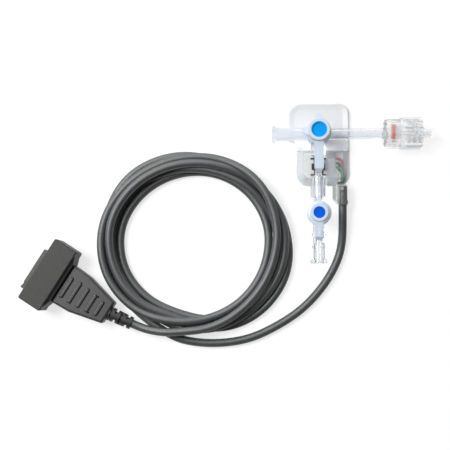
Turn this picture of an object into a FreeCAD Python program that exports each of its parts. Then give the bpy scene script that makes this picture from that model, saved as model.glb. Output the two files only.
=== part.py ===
import FreeCAD, Part
import math
import os

os.makedirs("parts", exist_ok=True)

V = FreeCAD.Vector
X_AXIS = V(1, 0, 0)
Y_AXIS = V(0, 1, 0)
Z_AXIS = V(0, 0, 1)

# Levels and positions that differ by less than this count as the same
SAME = 1e-4

# The frame: the origin is under the upper valve's axis, on the underside of the back plate.
# The line runs along X, the lower valve lies towards -Y, and the valves' axes point up, +Z.

# Fluid line
LINE_HEIGHT = 9.0
FLUID_BORE = 1.2
LUER_MOUTH_RADIUS = 2.135
LUER_TIP_RADIUS = 1.9625
LUER_HALF_TAPER = 0.03
LUER_DEPTH = 9.0
LUER_OVERRUN = 0.5
LUG_RADIUS = 3.9
LUG_LENGTH = 2.0
LUG_WIDTH = 4.6
LUG_CHAMFER = 0.5

# Back plate
PLATE_LEFT = -13.55
PLATE_RIGHT = 14.3
PLATE_TOP = 15.4
PLATE_BOTTOM = -22.2
PLATE_STEP = -2.2
PLATE_LOWER_LEFT = -9.75
PLATE_RADIUS_TOP_LEFT = 6.2
PLATE_RADIUS_TOP_RIGHT = 5.0
PLATE_RADIUS_BOTTOM_RIGHT = 5.5
PLATE_RADIUS_BOTTOM_LEFT = 6.0
PLATE_HEEL_RADIUS = 1.2
PLATE_STEP_STRAIGHT = 0.2
PLATE_SHEET = 1.2
PLATE_EDGE_ROUND = 0.4
PLATFORM_RISE = 0.8
RIM_RISE = 0.35
RIM_WIDTH = 0.7
RIM_ROUND = 0.3
PLATFORM_BOTTOM = -6.6
PLATFORM_MARGIN = 0.3
BORDER_SLOPE = 2.1
INSET_RADIUS_SHARE = 0.3

# Sensor cover
COVER_HEIGHT = 4.1
COVER_WALL = 0.55
COVER_MARGIN = 0.2
COVER_GAP = 0.15
COVER_SLOPE = 2.6
COVER_CORNER = 0.6
COVER_SLOT_CLEARANCE = 0.1

# Upper valve
UPPER_BARREL_RADIUS = 4.9
UPPER_BARREL_TOP = 14.6
UPPER_PLUG_TOP_RADIUS = 3.15
UPPER_PLUG_BOTTOM_RADIUS = 2.8
UPPER_HEAD_RADIUS = 3.45
UPPER_HEAD_WALL = 0.35
UPPER_DISC_LEVEL = 21.7
UPPER_RING_TOP = 22.9
UPPER_RING_RADIUS = 4.85
UPPER_SKIRT_RADIUS = 5.5
UPPER_SKIRT_THICKNESS = 1.7
UPPER_LEVER_LENGTH = 18.1
UPPER_LEVER_WIDTH = 4.0
UPPER_LEVER_BOTTOM = 17.3
UPPER_LEVER_TOP = 20.3
UPPER_LEVER_TIP_TOP = 19.5
UPPER_NOSE_SHARE = 0.45
UPPER_NUB_LENGTH = 7.5
UPPER_NUB_ROOT = 6.8
UPPER_NUB_TIP = 2.0
SIDE_NUB_LENGTH = 7.4

# Lower valve
LOWER_AXIS_Y = -35.6
LOWER_BARREL_RADIUS = 4.3
LOWER_BARREL_BOTTOM = 4.6
LOWER_BARREL_TOP = 13.4
LOWER_PLUG_TOP_RADIUS = 2.65
LOWER_PLUG_BOTTOM_RADIUS = 2.35
LOWER_HEAD_RADIUS = 2.6
LOWER_HEAD_WALL = 0.3
LOWER_DISC_LEVEL = 17.8
LOWER_RING_TOP = 18.5
LOWER_RING_RADIUS = 4.05
LOWER_SKIRT_RADIUS = 5.35
LOWER_SKIRT_THICKNESS = 1.5
LOWER_LEVER_LENGTH = 12.1
LOWER_LEVER_WIDTH = 3.8
LOWER_LEVER_BOTTOM = 15.1
LOWER_LEVER_TOP = 17.2
LOWER_LEVER_TIP_TOP = 16.8
LOWER_NOSE_SHARE = 0.25
LOWER_NUB_LENGTH = 6.5
LOWER_NUB_ROOT = 5.4
LOWER_NUB_TIP = 1.8

# Both valves
PLUG_CLEARANCE = 0.04
PLUG_LIP = 0.35
PLUG_LIP_HEIGHT = 0.8
PLUG_LIP_CLEARANCE = 0.1
LIP_RECESS = 0.45
SKIRT_CLEARANCE = 0.2
HANDLE_CHAMFER = 0.3
GROOVE_WIDTH = 0.4
GROOVE_DEPTH = 0.35
GROOVE_OFFSET = 0.5
GROOVE_MARGIN = 2.3
ARROW_HALF_WIDTH = 0.9
ARROW_LENGTH = 1.5
MARK_LINE = 0.4
MARK_HALF_WIDTH = 0.5
MARK_MARGIN = 0.5
LEVER_WALL = 1.0
LEVER_ROOF = 1.3
LEVER_ROOT_ROUND = 0.2
LEVER_SHOULDER_ROUND = 0.8
LEVER_TIP_ROUND = 0.5
LEVER_TIP_SHARE = 0.4
NOSE_FALL = 1.3
NOSE_FALL_LENGTH = 1.5
NUB_ROUND = 0.6

# Arms of the manifold
LEFT_ARM_END = -20.5
LEFT_ARM_RADIUS = 2.925
RIGHT_ARM_RADIUS = 2.5
RIGHT_BORE = 1.5
DOWN_ARM_RADIUS = 3.2
DOWN_ARM_END = -9.7
SOCKET_RADIUS = 3.53
SOCKET_START = -18.7
SOCKET_END = -28.0
SOCKET_DEPTH = 8.4
SOCKET_CLEARANCE = 0.05
INLET_RADIUS = 2.2

# Lower luer arm
LUER_ARM_END = -57.5
LUER_ARM_RADIUS = 2.65
SHOULDER_POSITIONS = (-44.9, -50.2)
SHOULDER_RADIUS = 3.15
SHOULDER_LENGTH = 0.9

# Sensor port and what lies under it
PORT_HALF_WIDTH = 2.1
PORT_TOP = 11.4
PORT_HOLE = 1.0
PORT_SETBACK = 0.2
GASKET_FLANGE = 0.6
GASKET_TABS = ((-10.45, 0.8, 3.4), (-14.1, 2.9, 2.95), (-17.8, 0.8, 3.4))
GASKET_CORE_HALF_WIDTH = 1.8
GASKET_CORE_MARGIN_LOW = 2.9
GASKET_CORE_MARGIN_HIGH = 0.9
GASKET_LEG_WIDTH = 0.5
BOARD_THICKNESS = 1.0
BOARD_LEFT = -6.6
BOARD_RIGHT = 8.9
BOARD_TOP = -8.6
BOARD_BOTTOM = -18.9
DIE_SIZE = 1.7
DIE_THICKNESS = 0.5
RESISTOR_LEFT = 4.0
RESISTOR_RIGHT = 7.8
RESISTOR_TOP = -9.95
RESISTOR_BOTTOM = -18.5
RESISTOR_THICKNESS = 0.35
RESISTOR_CORNER = 0.3
STRIP_GAP = 0.1
STRIP_LENGTH = 4.4
STRIP_WIDTH = 2.4
STRIP_THICKNESS = 0.9

# Wires: lane position, lane height and landing point on the board, and where their bends lie
# as shares of the way from lane to board
WIRE_RADIUS = 0.6
WIRE_END = 7.95
WIRE_LANDING_GAP = 0.05
WIRE_RISE_END = 0.8
WIRE_BEND = 0.2
WIRE_BEND_DROP = 0.1
WIRE_BEND_RISE = 0.75
WIRE_LOW = 1.9
WIRE_HIGH = 3.25
WIRE_LANES = {
    "red_wire": (11.0, WIRE_LOW, -10.05),
    "black_wire": (9.75, WIRE_LOW, -12.1),
    "green_wire": (11.0, WIRE_HIGH, -14.0),
    "white_wire": (9.75, WIRE_HIGH, -16.2),
}

# Cable gland
GLAND_LEFT = 6.3
GLAND_RIGHT = 12.9
GLAND_GAP = 0.1
GLAND_LENGTH = 9.0
GLAND_LOW = 1.2
GLAND_HIGH = 7.7
GLAND_ROUND = 2.4
GLAND_TAPER = 1.6
GLAND_LIP = 0.3
GLAND_LIP_LENGTH = 1.3
GLAND_LIP_OFFSET = 0.6
NECK_LEFT = 8.7
NECK_RIGHT = 12.15
NECK_HEIGHT = 2.8
NECK_LENGTH = 1.7
NECK_CLEARANCE = 0.05
PIN_X = 10.4
PIN_Y = -24.1
PIN_RADIUS = 0.85
PIN_LOW = 6.9
PIN_PROUD = 0.3

# Cable
CABLE_DIAMETER = 3.7
CABLE_X = 10.8
CABLE_EXIT_HEIGHT = 4.5
CABLE_BORE_DEPTH = 8.4
CABLE_BORE_CLEARANCE = 0.05
FLOOR_GAP = 0.05
ARC_SHARE = 0.45
TAIL_STRAIGHT = 4.6

# Coil of cable, an oval ring of the bundle's outer shape: centre and half axes, longer one first
COIL_OUTER_CENTRE = V(-54.8, -48.2, 0)
COIL_OUTER = (44.5, 41.0)
COIL_INNER_CENTRE = V(-56.1, -47.2, 0)
COIL_INNER = (32.0, 30.1)
COIL_TURN = -20.0
COIL_HEIGHT = 10.6
COIL_ROUND = 3.2

# Connector, in its own frame: u runs from the block to the cable, v across it
PLUG_CENTRE = V(-120.4, -62.35, 0)
PLUG_ANGLE = -32.5
SHELL_LENGTH = 11.6
SHELL_WIDTH = 31.0
SHELL_HEIGHT = 13.0
SHELL_ROUND = 0.9
SHELL_REAR_STEP = 1.3
SHELL_REAR_WIDTH = 19.6
SHELL_REAR_LOW = 1.2
SHELL_REAR_HIGH = 11.0
SHELL_REAR_START = 0.5
SHELL_REAR_SPREAD = 1.0
NOSE_WIDTH = 19.9
NOSE_OFFSET = -1.35
NOSE_PROUD = 2.1
NOSE_DEPTH = 2.8
NOSE_LOW = 3.0
NOSE_HIGH = 10.2
NOSE_WALL = 2.2
NOSE_CLEARANCE = 0.05
SLOT_HEIGHT = 2.6
SLOT_FLOOR = 0.6
NOTCH_WIDTH = 1.2
NOTCH_DEPTH = 1.2
NOTCH_V = -9.2
CONTACT_COUNT = 8
CONTACT_WIDTH = 0.9
CONTACT_THICKNESS = 0.25
CONTACT_SETBACK = 0.8
GRIP_STATIONS = ((0.0, 9.6), (9.2, 9.15), (24.6, 5.4))
GRIP_LOW = 1.6
GRIP_HIGH = 9.2
GRIP_ROUND = 1.1
GRIP_CORNER = 0.8
RIB_FIRST = 2.6
RIB_PITCH = 4.35
RIB_HALF_LENGTHS = (5.35, 5.5, 5.1, 4.6, 3.85)
RIB_V = -0.45
RIB_WIDTH = 1.9
RIB_PROUD = 0.8
RIB_ROUND = 0.6
RIB_END_SHARE = 0.49
RIB_DIMPLE_RADIUS = 0.45
RIB_DIMPLE_DEPTH = 1.2
RELIEF_LENGTH = 11.0
RELIEF_START_RADIUS = 3.3
RELIEF_END_RADIUS = 2.8
RELIEF_CORE_RADIUS = 1.95
RELIEF_RING_COUNT = 4
RELIEF_FIRST_GAP = 0.4
RELIEF_RING_LENGTH = 1.4
RELIEF_BRIDGE_WIDTH = 2.0
RELIEF_TURN = 8.0
RELIEF_HEIGHT = 5.4
RELIEF_FOOT_LENGTH = 0.6

# Rotating luer lock
CAP_START = 28.6
CAP_LENGTH = 7.1
CAP_RADIUS = 6.6
CAP_ROUND = 2.0
FLUTE_COUNT = 12
FLUTE_RADIUS = 1.2
FLUTE_DEPTH = 0.35
CAP_SEAT_LENGTH = 2.0
CAP_LIP_LENGTH = 1.1
SPINDLE_RADIUS = 2.65
SPINDLE_CLEARANCE = 0.05
SPINDLE_END_GAP = 0.3
SNAP_RADIUS = 3.65
SNAP_LENGTH = 0.7
SNAP_SLOPE = 0.2
SNAP_CLEARANCE = 0.15
O_RING_SECTION = 0.62
O_RING_GAP = 0.1
O_RING_CLEARANCE = 0.15
COLLAR_GAP = 0.15
COLLAR_END = 45.7
COLLAR_CORE_RADIUS = 5.9
COLLAR_FLANGE_RADIUS = 6.9
COLLAR_FLANGE_LENGTH = 1.4
COLLAR_RADIUS = 7.15
COLLAR_CHAMFER = 0.8
WING_COUNT = 8
WING_WIDTH = 2.1
THREAD_ROOT_RADIUS = 4.1
COLLAR_FLOOR = 3.0
TIP_END = 49.65
TIP_BORE = 1.05

# Sizes that follow from those above
PLATFORM_LEVEL = PLATE_SHEET + PLATFORM_RISE
RIM_LEVEL = PLATFORM_LEVEL + RIM_RISE
PLATE_STEP_RADIUS = PLATE_LOWER_LEFT - PLATE_LEFT - PLATE_HEEL_RADIUS - PLATE_STEP_STRAIGHT
COVER_LEVEL = PLATE_SHEET + COVER_HEIGHT
BOARD_LEVEL = PLATE_SHEET + BOARD_THICKNESS
PORT_BOTTOM = COVER_LEVEL + GASKET_FLANGE
GLAND_TOP = PLATE_BOTTOM - GLAND_GAP
GLAND_BOTTOM = GLAND_TOP - GLAND_LENGTH
NECK_END = GLAND_TOP + NECK_LENGTH
CABLE_RADIUS = CABLE_DIAMETER / 2
CABLE_FLOOR = CABLE_RADIUS + FLOOR_GAP
CAP_END = CAP_START + CAP_LENGTH
ARM_SEAT = CAP_START + CAP_SEAT_LENGTH
CAVITY_RADIUS = SPINDLE_RADIUS + 2 * O_RING_SECTION + O_RING_CLEARANCE
COLLAR_START = CAP_END + COLLAR_GAP
SHELL_FRONT = -SHELL_LENGTH / 2
SHELL_BACK = SHELL_LENGTH / 2 + SHELL_REAR_STEP


def box(x_low, x_high, y_low, y_high, z_low, z_high):
    """Box between two corners."""
    return Part.makeBox(x_high - x_low, y_high - y_low, z_high - z_low, V(x_low, y_low, z_low))


def turned(profile, base=V(0, 0, 0), direction=Z_AXIS):
    """Solid of revolution of (radius, height) points, its axis along direction from base."""
    points = [V(radius, 0, height) for radius, height in profile]
    face = Part.Face(Part.makePolygon(points + points[:1]))
    solid = face.revolve(V(0, 0, 0), Z_AXIS, 360)
    if solid.Volume < 0:
        solid.reverse()
    solid.Placement = FreeCAD.Placement(base, FreeCAD.Rotation(Z_AXIS, direction))
    return solid


def outline(corners, level):
    """Closed wire of straight edges and tangent corner arcs; each corner is (x, y, radius)."""
    edges = []
    starts = []
    ends = []
    for i, (x, y, radius) in enumerate(corners):
        here = V(x, y, level)
        before = V(corners[i - 1][0], corners[i - 1][1], level) - here
        following = corners[(i + 1) % len(corners)]
        after = V(following[0], following[1], level) - here
        half = before.getAngle(after) / 2
        reach = radius / math.tan(half)
        starts.append(here + before.normalize() * reach)
        ends.append(here + after.normalize() * reach)
        bisector = (before + after).normalize()
        middle = here + bisector * (radius / math.sin(half) - radius)
        edges.append(Part.Arc(starts[i], middle, ends[i]).toShape())
    closed = []
    for i, arc in enumerate(edges):
        closed.append(arc)
        closed.append(Part.LineSegment(ends[i], starts[(i + 1) % len(edges)]).toShape())
    return Part.Wire(closed)


def inset(corners, distances):
    """Corners of an anticlockwise outline with each edge moved inwards by its own distance."""
    count = len(corners)
    moved = []
    for i in range(count):
        ax, ay = corners[i][0] - corners[i - 1][0], corners[i][1] - corners[i - 1][1]
        following = corners[(i + 1) % count]
        bx, by = following[0] - corners[i][0], following[1] - corners[i][1]
        a_length, b_length = math.hypot(ax, ay), math.hypot(bx, by)
        before, after = distances[i - 1], distances[i]
        na = (-ay / a_length, ax / a_length)
        nb = (-by / b_length, bx / b_length)
        cross = na[0] * nb[1] - na[1] * nb[0]
        shift_x = (before * nb[1] - after * na[1]) / cross
        shift_y = (na[0] * after - nb[0] * before) / cross
        step = min(before, after)
        if cross > 0:
            radius = max(corners[i][2] - step, corners[i][2] * INSET_RADIUS_SHARE)
        else:
            radius = corners[i][2] + step
        moved.append((corners[i][0] + shift_x, corners[i][1] + shift_y, radius))
    return moved


def frustum(corners, distances, low, high):
    """Solid that rises from an outline to the same outline moved inwards."""
    return Part.makeLoft([outline(corners, low), outline(inset(corners, distances), high)], True, True)


def slab(corners, low, high):
    """Flat solid of an outline between two levels."""
    return Part.Face(outline(corners, low)).extrude(V(0, 0, high - low))


def rectangle(x_low, x_high, y_low, y_high, radius):
    """Corners of an upright rectangle, anticlockwise."""
    return [
        (x_low, y_low, radius),
        (x_high, y_low, radius),
        (x_high, y_high, radius),
        (x_low, y_high, radius),
    ]


def edges_at(shape, level):
    """Edges of a shape that lie whole in one level."""
    found = []
    for edge in shape.Edges:
        bounds = edge.BoundBox
        if abs(bounds.ZMin - level) < SAME and abs(bounds.ZMax - level) < SAME:
            found.append(edge)
    return found


def run_tube(points, radius, name):
    """Round tube along straight runs joined by tangent arcs, each as large as its runs allow."""
    edges = []
    start = points[0]
    bends = []
    for i in range(1, len(points) - 1):
        back = points[i - 1] - points[i]
        ahead = points[i + 1] - points[i]
        shorter = min(back.Length, ahead.Length)
        turn = math.pi - back.getAngle(ahead)
        reach = ARC_SHARE * shorter
        bend = reach / math.tan(turn / 2)
        bends.append(bend)
        arc_start = points[i] + V(back).normalize() * reach
        arc_end = points[i] + V(ahead).normalize() * reach
        bisector = (V(back).normalize() + V(ahead).normalize()).normalize()
        middle = points[i] + bisector * (bend / math.cos(turn / 2) - bend)
        edges.append(Part.LineSegment(start, arc_start).toShape())
        edges.append(Part.Arc(arc_start, middle, arc_end).toShape())
        start = arc_end
    edges.append(Part.LineSegment(start, points[-1]).toShape())
    path = Part.Wire(edges)
    section = Part.Wire([Part.makeCircle(radius, points[0], points[1] - points[0])])
    tube = path.makePipeShell([section], True, True)
    expected = math.pi * radius ** 2 * path.Length
    print(name, "radii", [round(b, 1) for b in bends], "length", round(path.Length, 1),
          "volume ratio", round(tube.Volume / expected, 4))
    return tube


def luer_socket(mouth, inwards):
    """Space inside a female luer: the tapered socket, open a little past its mouth."""
    outer = LUER_MOUTH_RADIUS + LUER_OVERRUN * LUER_HALF_TAPER
    inner = LUER_MOUTH_RADIUS - LUER_DEPTH * LUER_HALF_TAPER
    profile = [(0, -LUER_OVERRUN), (outer, -LUER_OVERRUN), (inner, LUER_DEPTH), (0, LUER_DEPTH)]
    return turned(profile, mouth, inwards)


def luer_lugs(mouth, inwards, across):
    """Pair of lock lugs on a female luer, standing out on both sides along across."""
    face_radius = LUG_RADIUS - LUG_CHAMFER
    profile = [(0, 0), (face_radius, 0), (LUG_RADIUS, LUG_CHAMFER),
               (LUG_RADIUS, LUG_LENGTH - LUG_CHAMFER), (face_radius, LUG_LENGTH), (0, LUG_LENGTH)]
    disc = turned(profile, mouth, inwards)
    side = inwards.cross(across)
    size = V(abs(inwards.x), abs(inwards.y), abs(inwards.z)) * LUG_LENGTH
    size = size + V(abs(across.x), abs(across.y), abs(across.z)) * (2 * LUG_RADIUS)
    size = size + V(abs(side.x), abs(side.y), abs(side.z)) * LUG_WIDTH
    centre = mouth + inwards * (LUG_LENGTH / 2)
    bar = Part.makeBox(size.x, size.y, size.z, centre - size / 2)
    return disc.common(bar)


def plate_corners():
    """Outline of the back plate, anticlockwise from its upper left corner."""
    return [
        (PLATE_LEFT, PLATE_TOP, PLATE_RADIUS_TOP_LEFT),
        (PLATE_LEFT, PLATE_STEP, PLATE_HEEL_RADIUS),
        (PLATE_LOWER_LEFT, PLATE_STEP, PLATE_STEP_RADIUS),
        (PLATE_LOWER_LEFT, PLATE_BOTTOM, PLATE_RADIUS_BOTTOM_LEFT),
        (PLATE_RIGHT, PLATE_BOTTOM, PLATE_RADIUS_BOTTOM_RIGHT),
        (PLATE_RIGHT, PLATE_TOP, PLATE_RADIUS_TOP_RIGHT),
    ]


def back_plate():
    """Sheet with a rounded edge; its upper part is a shallow tray with a rim and sloped borders."""
    corners = plate_corners()
    sheet = slab(corners, 0, PLATE_SHEET)
    sheet = sheet.makeFillet(PLATE_EDGE_ROUND, edges_at(sheet, PLATE_SHEET))
    upper = corners[:3]
    upper.append((PLATE_LOWER_LEFT, PLATFORM_BOTTOM, COVER_CORNER))
    upper.append((PLATE_RIGHT, PLATFORM_BOTTOM, COVER_CORNER))
    upper.append(corners[5])
    margin = [PLATFORM_MARGIN, PLATFORM_MARGIN, PLATFORM_MARGIN, 0, PLATFORM_MARGIN, PLATFORM_MARGIN]
    rim = [RIM_WIDTH, RIM_WIDTH, RIM_WIDTH, -COVER_GAP, RIM_WIDTH, RIM_WIDTH]
    slope = [BORDER_SLOPE, BORDER_SLOPE, BORDER_SLOPE, 0, BORDER_SLOPE, BORDER_SLOPE]
    foot = inset(upper, margin)
    platform = slab(foot, PLATE_SHEET / 2, RIM_LEVEL)
    platform = platform.makeFillet(RIM_ROUND, edges_at(platform, RIM_LEVEL))
    inner = inset(foot, rim)
    floor = outline(inset(inner, slope), PLATFORM_LEVEL)
    tray = Part.makeLoft([floor, outline(inner, RIM_LEVEL)], True, True)
    return sheet.fuse(platform.cut(tray)).removeSplitter()


def cover_corners(margin):
    """Outline of the sensor cover, anticlockwise from its upper left corner."""
    left = PLATE_LOWER_LEFT + margin
    right = PLATE_RIGHT - margin
    top = PLATFORM_BOTTOM - COVER_GAP - (margin - COVER_MARGIN)
    bottom = PLATE_BOTTOM + margin
    return [
        (left, top, COVER_CORNER),
        (left, bottom, PLATE_RADIUS_BOTTOM_LEFT - margin),
        (right, bottom, PLATE_RADIUS_BOTTOM_RIGHT - margin),
        (right, top, COVER_CORNER),
    ]


def port_span():
    """Lowest and highest Y of the sensor port."""
    return SOCKET_START + PORT_SETBACK, DOWN_ARM_END


def gasket_core_span():
    """Lowest and highest Y of the gasket's core."""
    low, high = port_span()
    return low + GASKET_CORE_MARGIN_LOW, high - GASKET_CORE_MARGIN_HIGH


def sensor_cover():
    """Raised shell with sloped sides, open below, with a slot for the gasket and one for the neck."""
    slope = [COVER_SLOPE, COVER_SLOPE, COVER_SLOPE, 0]
    shell = frustum(cover_corners(COVER_MARGIN), slope, PLATE_SHEET, COVER_LEVEL)
    hollow = frustum(cover_corners(COVER_MARGIN + COVER_WALL), slope, PLATE_SHEET, COVER_LEVEL - COVER_WALL)
    low, high = gasket_core_span()
    gap = COVER_SLOT_CLEARANCE
    half = GASKET_CORE_HALF_WIDTH + gap
    slot = box(-half, half, low - gap, high + gap, PLATE_SHEET, COVER_LEVEL)
    notch = box(NECK_LEFT - NECK_CLEARANCE, NECK_RIGHT + NECK_CLEARANCE, GLAND_TOP, NECK_END + COVER_SLOPE,
                PLATE_SHEET, PLATE_SHEET + NECK_HEIGHT + NECK_CLEARANCE)
    return shell.cut([hollow, slot, notch])


def barrel(radius, low, high, top_radius, bottom_radius, lip_top):
    """Outside of a valve barrel and the space inside it, both on the axis of the plug."""
    outside = turned([(0, low), (radius, low), (radius, high), (0, high)])
    inner_low = bottom_radius + PLUG_CLEARANCE
    inner_high = top_radius + PLUG_CLEARANCE
    recess = bottom_radius + LIP_RECESS
    profile = [(0, low), (recess, low), (recess, lip_top), (inner_low, lip_top),
               (inner_high, high), (0, high)]
    return outside, turned(profile)


def upper_lip_top():
    """Level of the shoulder under which the upper plug's lip snaps."""
    return PLATFORM_LEVEL + 2 * PLUG_LIP_HEIGHT


def lower_lip_top():
    """Level of the shoulder under which the lower plug's lip snaps."""
    return LOWER_BARREL_BOTTOM + PLUG_LIP_HEIGHT + PLUG_LIP_CLEARANCE


def manifold_body():
    """Clear moulding: barrel, left luer, right tube, down arm, sensor port and socket."""
    outside, inside = barrel(UPPER_BARREL_RADIUS, PLATFORM_LEVEL, UPPER_BARREL_TOP,
                             UPPER_PLUG_TOP_RADIUS, UPPER_PLUG_BOTTOM_RADIUS, upper_lip_top())
    centre = V(0, 0, LINE_HEIGHT)
    mouth = V(LEFT_ARM_END, 0, LINE_HEIGHT)
    left = Part.makeCylinder(LEFT_ARM_RADIUS, -LEFT_ARM_END, mouth, X_AXIS)
    right = Part.makeCylinder(RIGHT_ARM_RADIUS, ARM_SEAT, centre, X_AXIS)
    down = Part.makeCylinder(DOWN_ARM_RADIUS, -DOWN_ARM_END, centre, -Y_AXIS)
    low, high = port_span()
    block = box(-PORT_HALF_WIDTH, PORT_HALF_WIDTH, low, high, PORT_BOTTOM, PORT_TOP)
    socket_top = V(0, SOCKET_START, LINE_HEIGHT)
    socket_mouth = V(0, SOCKET_END, LINE_HEIGHT)
    socket = Part.makeCylinder(SOCKET_RADIUS, SOCKET_START - SOCKET_END, socket_top, -Y_AXIS)
    block = block.fuse(box(-PORT_HALF_WIDTH, PORT_HALF_WIDTH, SOCKET_START, high, LINE_HEIGHT, PORT_TOP))
    lugs = luer_lugs(mouth, X_AXIS, Y_AXIS)
    body = outside.fuse([left, right, down, block, socket, lugs])
    body = body.cut([
        inside,
        luer_socket(mouth, X_AXIS),
        Part.makeCylinder(FLUID_BORE, -LEFT_ARM_END, mouth, X_AXIS),
        Part.makeCylinder(RIGHT_BORE, ARM_SEAT, centre, X_AXIS),
        Part.makeCylinder(FLUID_BORE, -SOCKET_END, centre, -Y_AXIS),
        Part.makeCylinder(INLET_RADIUS + SOCKET_CLEARANCE, SOCKET_DEPTH, socket_mouth, Y_AXIS),
        Part.makeCylinder(PORT_HOLE, LINE_HEIGHT - PORT_BOTTOM, V(0, (low + high) / 2, PORT_BOTTOM), Z_AXIS),
    ])
    return body.removeSplitter()


def sensor_gasket():
    """Black seal: a core with a round hole, and a top flange with two legs and three pairs of tabs."""
    low, high = gasket_core_span()
    core = box(-GASKET_CORE_HALF_WIDTH, GASKET_CORE_HALF_WIDTH, low, high, BOARD_LEVEL, COVER_LEVEL)
    flange_low, flange_high = port_span()
    flange = box(-PORT_HALF_WIDTH, PORT_HALF_WIDTH, flange_low, flange_high, COVER_LEVEL, PORT_BOTTOM)
    between = PORT_HALF_WIDTH - GASKET_LEG_WIDTH
    tabs = []
    for middle, length, reach in GASKET_TABS:
        tabs.append(box(-reach, reach, middle - length / 2, middle + length / 2, COVER_LEVEL, PORT_BOTTOM))
    hole = Part.makeCylinder(PORT_HOLE, PORT_BOTTOM, V(0, (flange_low + flange_high) / 2, 0), Z_AXIS)
    window = DIE_SIZE / 2 + COVER_SLOT_CLEARANCE
    middle = (flange_low + flange_high) / 2
    die_top = BOARD_LEVEL + DIE_THICKNESS
    die_space = box(-window, window, middle - window, middle + window, BOARD_LEVEL, die_top)
    between_legs = box(-between, between, flange_low, low, COVER_LEVEL, PORT_BOTTOM)
    return core.fuse([flange] + tabs).cut([hole, die_space, between_legs]).removeSplitter()


def sensor_board():
    """Ceramic board on the plate, under the cover."""
    return box(BOARD_LEFT, BOARD_RIGHT, BOARD_BOTTOM, BOARD_TOP, PLATE_SHEET, BOARD_LEVEL)


def sensor_die():
    """Sensing chip on the board, in the gasket's hole."""
    low, high = port_span()
    middle = (low + high) / 2
    half = DIE_SIZE / 2
    return box(-half, half, middle - half, middle + half, BOARD_LEVEL, BOARD_LEVEL + DIE_THICKNESS)


def trim_resistor():
    """Grey thick-film resistor on the board's right side."""
    corners = rectangle(RESISTOR_LEFT, RESISTOR_RIGHT, RESISTOR_BOTTOM, RESISTOR_TOP,
                        RESISTOR_CORNER)
    return slab(corners, BOARD_LEVEL, BOARD_LEVEL + RESISTOR_THICKNESS)


def contact_strip():
    """Slate bar that laps over the upper edge of the board, one face on it."""
    right = RESISTOR_RIGHT
    top = PLATFORM_BOTTOM - COVER_GAP - COVER_WALL - STRIP_GAP
    high = BOARD_LEVEL + STRIP_THICKNESS
    return box(right - STRIP_LENGTH, right, top - STRIP_WIDTH, top, BOARD_LEVEL, high)


def wire(name):
    """Insulated core from the gland's neck, up its lane and across to its place on the board."""
    lane, level, landing = WIRE_LANES[name]
    landing_level = BOARD_LEVEL + RESISTOR_THICKNESS + WIRE_RADIUS + WIRE_LANDING_GAP
    reach = lane - WIRE_END
    rise = landing_level - level
    points = [
        V(lane, NECK_END, level),
        V(lane, landing - WIRE_RISE_END * reach, level),
        V(lane - WIRE_BEND * reach, landing - WIRE_BEND_DROP * reach, level + WIRE_BEND_RISE * rise),
        V(WIRE_END, landing, landing_level),
    ]
    return run_tube(points, WIRE_RADIUS, name)


def cable_gland():
    """Clear moulded block round the cable's end, with a lip, a tapered corner and a flat neck."""
    middle = (GLAND_LOW + GLAND_HIGH) / 2
    body = Part.Face(outline(rectangle(GLAND_LEFT, GLAND_RIGHT, GLAND_LOW, GLAND_HIGH, GLAND_ROUND), 0))
    body = body.extrude(V(0, 0, GLAND_TOP - GLAND_BOTTOM))
    lip_corners = rectangle(GLAND_LEFT - GLAND_LIP, GLAND_RIGHT + GLAND_LIP, GLAND_LOW - GLAND_LIP,
                            GLAND_HIGH + GLAND_LIP, GLAND_ROUND + GLAND_LIP)
    lip = Part.Face(outline(lip_corners, GLAND_LIP_OFFSET)).extrude(V(0, 0, GLAND_LIP_LENGTH))
    stacked = body.fuse(lip)
    stacked.Placement = FreeCAD.Placement(V(0, GLAND_BOTTOM, 0), FreeCAD.Rotation(X_AXIS, 90))
    stacked = stacked.mirror(V(0, GLAND_BOTTOM, 0), Y_AXIS)
    neck = box(NECK_LEFT, NECK_RIGHT, GLAND_TOP, NECK_END, PLATE_SHEET, PLATE_SHEET + NECK_HEIGHT)
    left = GLAND_LEFT - GLAND_LIP
    wedge_points = [V(left, GLAND_BOTTOM, 0), V(left + 2 * GLAND_TAPER, GLAND_BOTTOM, 0),
                    V(left, GLAND_BOTTOM + 2 * GLAND_TAPER, 0), V(left, GLAND_BOTTOM, 0)]
    wedge = Part.Face(Part.makePolygon(wedge_points)).extrude(V(0, 0, 2 * middle))
    bore = Part.makeCylinder(CABLE_RADIUS + CABLE_BORE_CLEARANCE, CABLE_BORE_DEPTH,
                             V(CABLE_X, GLAND_BOTTOM, CABLE_EXIT_HEIGHT), Y_AXIS)
    hole = Part.makeCylinder(PIN_RADIUS, GLAND_HIGH, V(PIN_X, PIN_Y, PIN_LOW), Z_AXIS)
    return stacked.fuse(neck).cut([wedge, bore, hole]).removeSplitter()


def gland_pin():
    """Round pin pressed into the gland's top, its head a little proud."""
    return Part.makeCylinder(PIN_RADIUS, GLAND_HIGH + PIN_PROUD - PIN_LOW, V(PIN_X, PIN_Y, PIN_LOW), Z_AXIS)


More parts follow.
